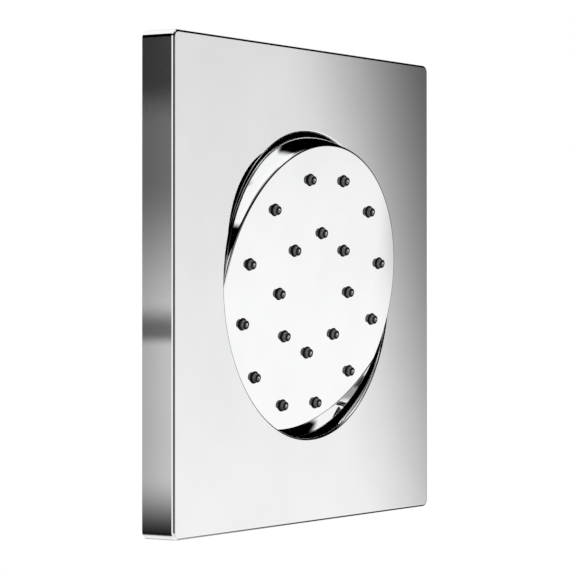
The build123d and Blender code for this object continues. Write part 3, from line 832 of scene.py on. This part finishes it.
def cover_plate_mesh(sizes):
    """The plate as one closed skin: front, edges, sides, hollow back, collar, bore and lip."""
    skin = Skin()
    pivot = JOINTS["head_spin"]["pos_m"][1]
    columns = plate_columns(sizes)
    count = len(columns)
    front = -sizes.depth
    ceiling = front + sizes.front
    edge = sizes.edge
    edge_steps = 10
    bore_steps = 24
    lip_steps = 16
    towards = [math.atan2(z, x) for x, z, *_ in columns]

    def wall_row(inset, y, normal_y, normal_out):
        return [(Vector((x - nx * inset, y, z - nz * inset)),
                 Vector((nx * normal_out, normal_y, nz * normal_out))) for x, z, nx, nz, _ in columns]

    def ring_row(radius, y, normal_y, normal_out):
        return [(Vector((radius * math.cos(a), y, radius * math.sin(a))),
                 Vector((normal_out * math.cos(a), normal_y, normal_out * math.sin(a)))) for a in towards]

    reach = pivot - front
    lip_ring = math.sqrt((sizes.bore + sizes.lip) ** 2 - (reach - sizes.lip) ** 2)
    skin.grid([ring_row(lip_ring, front, -1, 0), wall_row(edge, front, -1, 0)], closed=True)
    skin.grid([wall_row(edge * (1 - math.sin(a)), front + edge * (1 - math.cos(a)), -math.cos(a), math.sin(a))
               for a in spread(0, QUARTER, edge_steps)], closed=True)

    # The foot's outer and inner faces are flat patches with screw holes, and the rim dips at the drain
    foot = [k for k in range(count) if columns[k][4]]
    notch = {k for k in foot if abs(columns[k][0]) < sizes.drain_half - NEAR}
    skirt_top = wall_row(0, front + edge, 0, 1)
    skirt_low = wall_row(0, 0, 0, 1)
    hollow_low = wall_row(sizes.wall, 0, 0, -1)
    hollow_top = wall_row(sizes.wall, ceiling, 0, -1)
    for k in range(count):
        n = (k + 1) % count
        if not (k in foot and n in foot):
            skin.face([skirt_top[k], skirt_top[n], skirt_low[n], skirt_low[k]])
            skin.face([hollow_low[k], hollow_low[n], hollow_top[n], hollow_top[k]])
        dips = sizes.drain_high if (k in notch or n in notch) else 0.0
        rim = []
        for row, index in ((skirt_low, k), (skirt_low, n), (hollow_low, n), (hollow_low, k)):
            point = row[index][0].copy()
            point.y -= dips
            rim.append((point, Vector((0, 1, 0))))
        skin.face(rim)
    holes = (-sizes.screw_offset, sizes.screw_offset)

    def hole_ring(x, z):
        return [Vector((*spot, z)) for spot in circle(sizes.screw_hole, SCREW_STEPS, (x, -sizes.screw_depth))]

    def foot_loop(top_row, low_row):
        loop = [top_row[k][0] for k in foot]
        for k in reversed(foot):
            point = low_row[k][0].copy()
            at_end = abs(abs(point.x) - sizes.drain_half) < NEAR
            if k in notch:
                point.y -= sizes.drain_high
            if at_end:
                dipped = point.copy()
                dipped.y -= sizes.drain_high
                loop += [point, dipped] if point.x > 0 else [dipped, point]
            else:
                loop.append(point)
        return loop

    outside = -sizes.half
    inside = -sizes.half + sizes.wall
    skin.flat([foot_loop(skirt_top, skirt_low)] + [hole_ring(x, outside) for x in holes], (0, 0, -1))
    skin.flat([foot_loop(hollow_top, hollow_low)] + [hole_ring(x, inside) for x in holes], (0, 0, 1))
    for x in holes:
        low, high = hole_ring(x, outside), hole_ring(x, inside)
        inward = [(Vector((x, -sizes.screw_depth, p.z)) - p).normalized() for p in low]
        skin.grid([list(zip(low, inward)), list(zip(high, inward))], closed=True)
    for x in (-sizes.drain_half, sizes.drain_half):
        side = Vector((-math.copysign(1, x), 0, 0))
        skin.face([(Vector((x, y, z)), side) for y, z in
                   ((0, outside), (-sizes.drain_high, outside), (-sizes.drain_high, inside), (0, inside))])

    collar_end = -sizes.setback
    skin.grid([wall_row(sizes.wall, ceiling, 1, 0), ring_row(sizes.collar, ceiling, 1, 0)], closed=True)
    skin.grid([ring_row(sizes.collar, ceiling, 0, 1), ring_row(sizes.collar, collar_end, 0, 1)], closed=True)
    start = math.asin((collar_end - pivot) / sizes.bore)
    stop = -math.asin((reach - sizes.lip) / (sizes.bore + sizes.lip))
    skin.grid([ring_row(sizes.collar, collar_end, 1, 0),
               ring_row(sizes.bore * math.cos(start), collar_end, 1, 0)], closed=True)
    skin.grid([ring_row(sizes.bore * math.cos(a), pivot + sizes.bore * math.sin(a), -math.sin(a), -math.cos(a))
               for a in spread(start, stop, bore_steps)], closed=True)
    skin.grid([ring_row(lip_ring + sizes.lip * math.cos(a), front + sizes.lip + sizes.lip * math.sin(a),
                        math.sin(a), math.cos(a))
               for a in spread(stop + math.pi, 3 * QUARTER, lip_steps)], closed=True)
    return skin.build("cover_plate_skin")


def nozzle_spots(sizes):
    """Middles of the nozzles in the head's own frame, as (x, z)."""
    turns = []
    for k in range(sizes.outer_groups):
        middle = FULL * (k + 0.5) / sizes.outer_groups
        turns += [(sizes.outer_ring, middle + step * sizes.outer_step) for step in (-1, 0, 1)]
    turns += [(sizes.inner_ring, FULL * k / sizes.inner_count) for k in range(sizes.inner_count)]
    return [(ring * math.sin(a), ring * math.cos(a)) for ring, a in turns]


def crown_ball(sizes):
    """Radius of the ball that the disc's crowned front belongs to."""
    return (sizes.radius ** 2 + sizes.crown ** 2) / (2 * sizes.crown)


def crown_rise(sizes, away):
    """Rise of the crowned front above the rim's plane, at a distance from the middle."""
    ball = crown_ball(sizes)
    return math.sqrt(ball ** 2 - away ** 2) - ball + sizes.crown


def crown_point(sizes, x, z):
    """Point on the crowned front and its normal, in the head's own frame."""
    ball = crown_ball(sizes)
    rise = crown_rise(sizes, math.hypot(x, z))
    middle = ball - sizes.crown - sizes.face
    point = Vector((x, -sizes.face - rise, z))
    return point, (point - Vector((0, middle, 0))).normalized()


def spray_face_mesh(sizes):
    """The disc as one closed skin: crowned front, rounded edge, skirt and inside, pierced for the nozzles."""
    skin = Skin()
    place = head_place(sizes)
    spin = place.to_3x3()
    back = -sizes.face + sizes.face_wall
    tail = -sizes.face + sizes.skirt
    inner = sizes.radius - sizes.skirt_wall
    edge = sizes.edge
    soft = 0.25 * MM
    edge_steps, side_steps, hem_steps = 8, 16, 5
    ball = crown_ball(sizes)
    middle = ball - sizes.crown - sizes.face
    side = sizes.side_ball
    edge_y = ((side - edge) ** 2 - (ball - edge) ** 2 + middle ** 2) / (2 * middle)
    edge_r = math.sqrt((side - edge) ** 2 - edge_y ** 2)
    first = math.atan2(edge_y - middle, edge_r)
    rim = ball * math.cos(first)
    shoulder = math.asin(edge_y / (side - edge))
    hem = math.asin((tail - soft) / (side - soft))
    hem_r = (side - soft) * math.cos(hem)
    runs = [
        bend((edge_r, edge_y), edge, first, shoulder, edge_steps),
        bend((0, 0), side, shoulder, hem, side_steps),
        bend((hem_r, tail - soft), soft, hem, QUARTER, hem_steps),
        straight((hem_r, tail), (inner, tail)),
        straight((inner, tail), (inner, back)),
    ]
    turn_runs(skin, runs, DISC_STEPS, place)
    spots = nozzle_spots(sizes)

    def crowned(x, z):
        point, normal = crown_point(sizes, x, z)
        return place @ point, spin @ normal

    inside = []
    pitch = 1.6 * MM
    for ring in range(1, int(rim / pitch)):
        for x, z in circle(ring * pitch, 6 * ring):
            if min(math.hypot(x - u, z - v) for u, v in spots) > sizes.hole + 0.5 * pitch:
                inside.append((x, z))
    loops = [circle(rim, DISC_STEPS)] + [circle(sizes.hole, HOLE_STEPS, spot) for spot in spots]
    skin.patch(loops, inside, crowned)
    flat_back = spin @ Vector((0, 1, 0))
    loops[0] = circle(inner, DISC_STEPS)
    skin.patch(loops, [], lambda x, z: (place @ Vector((x, back, z)), flat_back))
    for spot in spots:
        rows = [[], []]
        for x, z in circle(sizes.hole, HOLE_STEPS, spot):
            inward = spin @ Vector((spot[0] - x, 0, spot[1] - z)).normalized()
            rows[0].append((crowned(x, z)[0], inward))
            rows[1].append((place @ Vector((x, back, z)), inward))
        skin.grid(rows, closed=True)
    return skin.build("spray_face_skin")


def nozzle_form(sizes):
    """One nozzle along +Z, with the disc's surface at 0; its tip attribute marks what is glossy."""
    hidden = 0.2 * MM
    dish_deep = 0.12 * MM
    collar_round, root_round, tip_round, mouth_round = 0.08 * MM, 0.1 * MM, 0.28 * MM, 0.03 * MM
    mouth_land = 0.1 * MM
    side_gloss = 0.22
    mouth_slack, slack, tip_dark = 0.04 * MM, 0.02 * MM, 0.25 * MM
    bottom = -sizes.face_wall - sizes.crown - hidden
    dish = sizes.high - dish_deep
    corners = [
        (sizes.orifice, bottom, 0),
        (sizes.base, bottom, 0),
        (sizes.base, sizes.base_high, collar_round),
        (sizes.root, sizes.base_high, root_round),
        (sizes.tip, sizes.high, tip_round),
        (sizes.mouth + mouth_land, sizes.high, 0),
        (sizes.mouth, sizes.high, mouth_round),
        (sizes.mouth, dish, 0),
        (sizes.orifice, dish, 0),
    ]
    form = turned("nozzle_form", rounded_outline(corners, 6), NOZZLE_STEPS)
    shares = []
    for point in form.data.vertices:
        away = point.co.xy.length
        if away < sizes.mouth + mouth_slack and point.co.z > dish - slack:
            shares.append(1.0)
        elif sizes.base_high + slack < point.co.z < sizes.high - tip_dark:
            shares.append(side_gloss)
        else:
            shares.append(0.0)
    form.data.attributes.new("tip", "FLOAT", "POINT").data.foreach_set("value", shares)
    return form


class SHOWER_OT_finishes(bpy.types.Operator):
    """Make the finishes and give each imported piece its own."""

    bl_idname = "shower.finishes"
    bl_label = "Finishes"

    def execute(self, context):
        make_materials(context.scene.shower_finish)
        dress_nodes()
        return {"FINISHED"}


class SHOWER_OT_cover_plate(bpy.types.Operator):
    """Build the chrome cover plate."""

    bl_idname = "shower.cover_plate"
    bl_label = "Cover plate"

    def execute(self, context):
        plate = add_object("cover_plate_skin", cover_plate_mesh(context.scene.shower_plate))
        plate.data.materials.append(MATERIALS["plate_chrome"])
        settle(plate, "wall_unit", "plate_chrome", "cover_plate")
        return {"FINISHED"}


class SHOWER_OT_spray_face(bpy.types.Operator):
    """Build the chrome spray disc."""

    bl_idname = "shower.spray_face"
    bl_label = "Spray face"

    def execute(self, context):
        face = add_object("spray_face_skin", spray_face_mesh(context.scene.shower_head))
        face.data.materials.append(MATERIALS["face_chrome"])
        settle(face, "spray_head", "face_chrome", "spray_face")
        return {"FINISHED"}


class SHOWER_OT_nozzle_mat(bpy.types.Operator):
    """Build the soft mat with all its nozzles."""

    bl_idname = "shower.nozzle_mat"
    bl_label = "Nozzle mat"

    def execute(self, context):
        sizes = context.scene.shower_head
        form = nozzle_form(sizes)
        hub = 0.5 * MM
        soft = 0.1 * MM
        rim = sizes.radius - sizes.skirt_wall - sizes.mat_gap
        top = -sizes.face_wall
        bottom = top - sizes.mat
        outline = rounded_outline([(hub, bottom, 0), (rim, bottom, soft), (rim, top, soft), (hub, top, 0)])
        sheet = turned("nozzle_sheet", outline, TURNED_STEPS)
        face_to_head = Matrix(((1, 0, 0, 0), (0, 0, -1, -sizes.face), (0, 1, 0, 0), (0, 0, 0, 1)))
        mat = grow(sheet, nozzle_field_tree(), {
            "Nozzle": form, "Outer Groups": sizes.outer_groups, "Outer Step": sizes.outer_step,
            "Outer Radius": sizes.outer_ring, "Outer Turn": math.pi / sizes.outer_groups,
            "Outer Rise": crown_rise(sizes, sizes.outer_ring), "Inner Count": sizes.inner_count,
            "Inner Radius": sizes.inner_ring, "Inner Rise": crown_rise(sizes, sizes.inner_ring),
            "Material": MATERIALS["nozzle_rubber"]}, "nozzle_mat_skin", head_place(sizes) @ face_to_head)
        bpy.data.objects.remove(form)
        settle(mat, "spray_head", "nozzle_rubber", "nozzle_mat")
        return {"FINISHED"}


class SHOWER_OT_inlet(bpy.types.Operator):
    """Build the threaded brass inlet nipple."""

    bl_idname = "shower.inlet"
    bl_label = "Inlet nipple"

    def execute(self, context):
        sizes = context.scene.shower_inlet
        low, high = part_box("inlet_nipple")
        root = sizes.thread - sizes.thread_deep
        shoulder = high.y - sizes.thread_long
        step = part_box("flow_limiter")[0].y
        large, middling, small, mouth = 0.3 * MM, 0.2 * MM, 0.1 * MM, 0.15 * MM
        corners = [
            (sizes.front_bore, low.y, 0),
            (sizes.flange, low.y, large),
            (sizes.flange, low.y + sizes.flange_thick, large),
            (sizes.shank, low.y + sizes.flange_thick, 0),
            (sizes.shank, shoulder, large),
            (root, shoulder, middling),
            (root, high.y - sizes.chamfer / 2, small),
            (root - sizes.chamfer / 2, high.y, mouth),
            (sizes.bore, high.y, large),
            (sizes.bore, step, 0),
            (sizes.front_bore, step, 0),
        ]
        core = turned("nipple_core", rounded_outline(corners), TURNED_STEPS)
        ridge = sizes.thread_deep / 2
        plain_turns, first_turn = 1.2, 0.7
        ridge_seat, ridge_size = 0.9, 1.1
        turns = (sizes.thread_long - sizes.pitch * plain_turns) / sizes.pitch
        nipple = grow(core, thread_tree(), {
            "Turns": turns, "Radius": root + ridge * ridge_seat, "Height": turns * sizes.pitch,
            "Start": shoulder + sizes.pitch * first_turn, "Ridge": ridge * ridge_size,
            "Material": MATERIALS["nipple_brass"]}, "inlet_nipple_skin", LIE_BACK)
        settle(nipple, "wall_unit", "nipple_brass", "inlet_nipple")
        return {"FINISHED"}


class SHOWER_OT_filter(bpy.types.Operator):
    """Build the domed inlet filter with its gauze."""

    bl_idname = "shower.filter"
    bl_label = "Inlet filter"

    def execute(self, context):
        sizes = context.scene.shower_inlet
        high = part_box("inlet_filter")[1]
        back = high.y
        front = back - sizes.filter_thick
        rim = high.x
        hollow = rim - sizes.filter_rim
        ball = (hollow ** 2 + sizes.filter_rise ** 2) / (2 * sizes.filter_rise)
        middle = front - sizes.filter_rise + ball
        inner = ball - sizes.filter_wall
        throat = hollow - sizes.filter_wall
        seat = middle - math.sqrt(inner ** 2 - throat ** 2)
        outer_end = math.asin((front - middle) / ball)
        inner_end = math.asin((seat - middle) / inner)
        pole = 0.02 * MM
        dome_steps = 24
        outer_pole = -math.acos(pole / ball)
        inner_pole = -math.acos(pole / inner)
        runs = [
            bend((0, middle), ball, outer_pole, outer_end, dome_steps),
            straight((hollow, front), (rim, front)),
            straight((rim, front), (rim, back)),
            straight((rim, back), (throat, back)),
            straight((throat, back), (throat, seat)),
            bend((0, middle), inner, inner_end, inner_pole, dome_steps),
            straight((pole, middle - math.sqrt(inner ** 2 - pole ** 2)),
                     (pole, middle - math.sqrt(ball ** 2 - pole ** 2))),
        ]
        dome = turned("filter_dome", runs, FILTER_STEPS)
        gauze = grow(dome, gauze_tree(), {
            "Wires": sizes.wires, "Reach": throat, "Ball": inner, "Middle": middle, "Wire": sizes.wire,
            "Material": MATERIALS["filter_steel"]}, "inlet_filter_skin", LIE_BACK)
        settle(gauze, "wall_unit", "filter_steel", "inlet_filter")
        return {"FINISHED"}


# Stage


FLAG_INPUTS = ("Left", "Left Soft", "Right", "Right Soft", "Foot", "Foot Soft", "Top", "Top Soft", "Lean")


def soft_flag_group():
    """Mask of a soft-edged patch on the dome, from the dome's own angles in degrees."""
    group, start, end = new_group(
        "Soft Flag", "ShaderNodeTree", [(name, "Float", 0.0) for name in FLAG_INPUTS], [("Mask", "Float")])
    angles = add_node(group, "ShaderNodeUVMap", uv_map="angles")
    parts = add_node(group, "ShaderNodeSeparateXYZ", {0: angles.outputs["UV"]})
    across, up = parts.outputs["X"], parts.outputs["Y"]
    leaned = maths(group, "ADD", across, maths(group, "MULTIPLY", start.outputs["Lean"], up))

    def side(value, edge, falling):
        near = start.outputs[edge]
        far = maths(group, "ADD", near, start.outputs[f"{edge} Soft"])
        return ease(group, value, near, far, *((1.0, 0.0) if falling else (0.0, 1.0)))

    mask = maths(group, "MULTIPLY", side(leaned, "Left", False), side(across, "Right", True))
    mask = maths(group, "MULTIPLY", mask, side(up, "Foot", False))
    mask = maths(group, "MULTIPLY", mask, side(up, "Top", True))
    group.links.new(mask, end.inputs["Mask"])
    return group


def dome_patch(name, distance, left, right, foot, top):
    """Part of a dome round the object, with its angles in degrees as a UV map."""
    fewest = 4
    across = max(fewest, int((right - left) / FLAG_STEP))
    up = max(fewest, int((top - foot) / FLAG_STEP))
    points = []
    angles = []
    for height in spread(foot, top, up):
        for azimuth in spread(left, right, across):
            a, e = math.radians(azimuth), math.radians(height)
            points.append((distance * math.sin(a) * math.cos(e), -distance * math.cos(a) * math.cos(e),
                           distance * math.sin(e)))
            angles.append((azimuth, height))
    row = across + 1
    faces = [(j * row + k, j * row + k + 1, (j + 1) * row + k + 1, (j + 1) * row + k)
             for j in range(up) for k in range(across)]
    mesh = bpy.data.meshes.new(name)
    mesh.from_pydata(points, [], faces)
    layer = mesh.uv_layers.new(name="angles")
    for loop in mesh.loops:
        layer.data[loop.index].uv = angles[loop.vertex_index]
    return add_object(name, mesh)


# name: density, (left, soft, right, soft), (foot, soft, top, soft), lean
FLAGS = {
    "veil": (0.30, (-50, 8, 150, 10), (-14, 28, 16, 8), 0.0),
    "band": (1.0, (-60, 8, 140, 10), (6, 6, 15, 7), 0.0),
    "right": (0.86, (57.8, 3.9, 96, 8), (-11, 7, 30, 12), 0.18),
    "right_low": (0.92, (62.5, 5, 132, 8), (-62, 14, 0, 10), 0.0),
    "right_high": (1.0, (30, 8, 104, 8), (7, 5, 47, 8), 0.0),
    "right_top": (1.0, (57, 4, 104, 8), (28, 6, 59.5, 9.5), 0.0),
    "low": (0.3, (-180, 0.1, 180, 0.1), (-85, 12, -26, 9), 0.0),
    "front": (0.72, (-32, 10, 30, 10), (-12, 8, 24, 8), 0.0),
    "front_left": (0.97, (-60, 6, -22, 8), (-14, 8, 24, 8), 0.0),
    "front_right": (0.97, (10, 8, 43, 4), (-14, 8, 24, 8), 0.0),
    "front_high": (1.0, (-122, 8, 36, 10), (16, 5, 40, 5), 0.0),
    "front_crest": (0.62, (-66, 8, 12, 8), (34, 5, 72, 6), 0.0),
    "right_crest": (0.9, (64, 6, 110, 10), (44, 5, 60, 4), 0.0),
    "front_bar": (0.85, (-74, 8, -36, 6), (53, 3, 62, 4), 0.0),
    "side_veil": (0.42, (-165, 8, -116, 5), (-50, 12, 38, 5), 0.0),
    "side_wall": (0.30, (-165, 8, -126.1, 1.1), (-18, 6, 16, 7), 0.0),
    "side_upper": (0.72, (-165, 8, -116, 5), (-0.9, 3.6, 38, 5), 0.0),
    "side_top": (0.68, (-165, 8, -116, 5), (3.8, 1.0, 38, 5), 0.0),
    "side_high": (1.0, (-165, 8, -116, 5), (7, 3, 38, 5), 0.0),
    "side_lower": (0.97, (-165, 8, -116, 5), (-50, 12, -5.5, 1.4), 0.0),
    "side_smudge": (0.72, (-165, 8, -116, 5), (-1.22, 0.3, -0.78, 0.6), 0.0),
}


def make_flags(distance):
    """Dark soft-edged flags that only the polished metal sees."""
    group = soft_flag_group()
    for number, (name, (density, sides, heights, lean)) in enumerate(FLAGS.items()):
        left, _, right, right_soft = sides
        foot, _, top, top_soft = heights
        spare = abs(lean) * max(abs(foot), abs(top + top_soft))
        patch = dome_patch(f"flag_{name}", distance + number * FLAG_GAP, left - spare, right + right_soft,
                           foot, min(ZENITH, top + top_soft))
        material, tree, surface = new_material(f"flag_{name}")
        mask = use_group(tree, group, dict(zip(FLAG_INPUTS, (*sides, *heights, lean))))
        connect(tree, surface, {
            "Base Color": (0, 0, 0, 1), "Roughness": 1.0, "Specular IOR Level": 0.0,
            "Alpha": maths(tree, "MULTIPLY", mask.outputs["Mask"], density)})
        patch.data.materials.append(material)
        patch.visible_camera = False
        patch.visible_diffuse = False
        patch.visible_shadow = False
        patch.visible_transmission = False


def make_floor(settings):
    """A round pale floor that fades into the white backdrop."""
    radius = settings.floor_radius
    fade_from, fade_to = 0.35 * radius, 0.98 * radius
    pale, paler = (0.9, 0.9, 0.9, 1), (0.93, 0.93, 0.93, 1)
    points = [(0, 0, 0)] + [(*spot, 0) for spot in circle(radius, FLOOR_STEPS)]
    mesh = bpy.data.meshes.new("floor")
    mesh.from_pydata(points, [], [(0, k + 1, (k + 1) % FLOOR_STEPS + 1) for k in range(FLOOR_STEPS)])
    floor = add_object("floor", mesh)
    floor.location.z = -settings.floor_drop
    material, tree, surface = new_material("pale_floor")
    place = own_place(tree)
    away = add_node(tree, "ShaderNodeVectorMath", {0: place}, operation="LENGTH").outputs["Value"]
    speckle = noise(tree, place, scale=40.0, detail=2.0)
    connect(tree, surface, {
        "Base Color": mix_colours(tree, speckle, pale, paler), "Roughness": 0.9,
        "Alpha": ease(tree, away, fade_from, fade_to, 1.0, 0.0)})
    floor.data.materials.append(material)


def make_world():
    """White for what the camera and polished metal see, a plain level for the rest."""
    world = bpy.data.worlds.new("studio")
    bpy.context.scene.world = world
    world.use_nodes = True
    tree = world.node_tree
    tree.nodes.clear()
    path = add_node(tree, "ShaderNodeLightPath")
    seen = maths(tree, "MAXIMUM", path.outputs["Is Camera Ray"], path.outputs["Is Glossy Ray"])
    seen = maths(tree, "MAXIMUM", seen, path.outputs["Is Transmission Ray"])
    plain = add_node(tree, "ShaderNodeBackground", {"Color": (0.93, 0.96, 1.0, 1), "Strength": 0.5})
    white = add_node(tree, "ShaderNodeBackground", {"Color": (1, 1, 1, 1), "Strength": 1.0})
    mixed = add_node(tree, "ShaderNodeMixShader", {0: seen, 1: plain.outputs[0], 2: white.outputs[0]})
    out = add_node(tree, "ShaderNodeOutputWorld")
    tree.links.new(mixed.outputs[0], out.inputs["Surface"])


# name: place, width and power
LAMPS = {
    "key": ((-0.7, -0.8, 0.9), 0.8, 9.0),
    "fill": ((0.9, -0.7, 0.4), 0.9, 5.0),
    "rear": ((0.4, 1.0, 0.8), 0.9, 7.0),
}


def aim(thing, back):
    """Turn a lamp or camera to look against a direction."""
    thing.rotation_euler = (-back).to_track_quat("-Z", "Y").to_euler()


def add_lamp(name, place, size, power):
    """A round soft lamp aimed at the object, out of the polished metal's sight."""
    lamp = bpy.data.lights.new(name, "AREA")
    lamp.shape = "DISK"
    lamp.size = size
    lamp.energy = power
    thing = add_object(name, lamp)
    thing.location = place
    aim(thing, Vector(place))
    thing.visible_glossy = False


def make_camera(settings):
    """The camera, placed as the photograph's was."""
    lens = bpy.data.cameras.new("photo_camera")
    lens.lens = settings.lens
    lens.sensor_width = SENSOR
    lens.clip_start = NEAREST
    camera = add_object("photo_camera", lens)
    azimuth, height = settings.azimuth, settings.elevation
    back = Vector((math.sin(azimuth) * math.cos(height), -math.cos(azimuth) * math.cos(height),
                   math.sin(height)))
    camera.location = Vector(settings.target) + back * settings.distance
    aim(camera, back)
    bpy.context.scene.camera = camera


class SHOWER_OT_stage(bpy.types.Operator):
    """Set the camera, floor, backdrop, reflection flags and lamps."""

    bl_idname = "shower.stage"
    bl_label = "Stage"

    def execute(self, context):
        settings = context.scene.shower_stage
        context.scene.view_settings.view_transform = "Standard"
        make_camera(settings)
        make_floor(settings)
        make_world()
        make_flags(settings.dome)
        for name, lamp in LAMPS.items():
            add_lamp(name, *lamp)
        return {"FINISHED"}


class SHOWER_PT_panel(bpy.types.Panel):
    """Lists the shower head's pieces and their sizes."""

    bl_idname = "SHOWER_PT_panel"
    bl_label = "Shower Head"
    bl_space_type = "VIEW_3D"
    bl_region_type = "UI"
    bl_category = "Shower Head"

    def draw(self, context):
        for settings, _ in SETTINGS:
            box = self.layout.box()
            group = getattr(context.scene, settings)
            for name in group.bl_rna.properties.keys():
                if name not in ("rna_type", "name"):
                    box.prop(group, name)
        for operator in OPERATORS:
            self.layout.operator(operator.bl_idname)


SETTINGS = (
    ("shower_plate", PlateSizes),
    ("shower_head", HeadSizes),
    ("shower_inlet", InletSizes),
    ("shower_finish", Finishes),
    ("shower_stage", StageSettings),
)
OPERATORS = (
    SHOWER_OT_finishes,
    SHOWER_OT_cover_plate,
    SHOWER_OT_spray_face,
    SHOWER_OT_nozzle_mat,
    SHOWER_OT_inlet,
    SHOWER_OT_filter,
    SHOWER_OT_stage,
)


def register():
    """Register the settings, operators and panel."""
    for _, group in SETTINGS:
        bpy.utils.register_class(group)
    for operator in OPERATORS:
        bpy.utils.register_class(operator)
    bpy.utils.register_class(SHOWER_PT_panel)
    for name, group in SETTINGS:
        setattr(bpy.types.Scene, name, PointerProperty(type=group))


def unregister():
    """Take everything out again."""
    for name, _ in SETTINGS:
        delattr(bpy.types.Scene, name)
    bpy.utils.unregister_class(SHOWER_PT_panel)
    for operator in reversed(OPERATORS):
        bpy.utils.unregister_class(operator)
    for _, group in reversed(SETTINGS):
        bpy.utils.unregister_class(group)


def main():
    """Build every piece in order and set the stage."""
    register()
    bpy.ops.shower.finishes()
    bpy.ops.shower.cover_plate()
    bpy.ops.shower.spray_face()
    bpy.ops.shower.nozzle_mat()
    bpy.ops.shower.inlet()
    bpy.ops.shower.filter()
    bpy.ops.shower.stage()


if __name__ == "__main__":
    main()
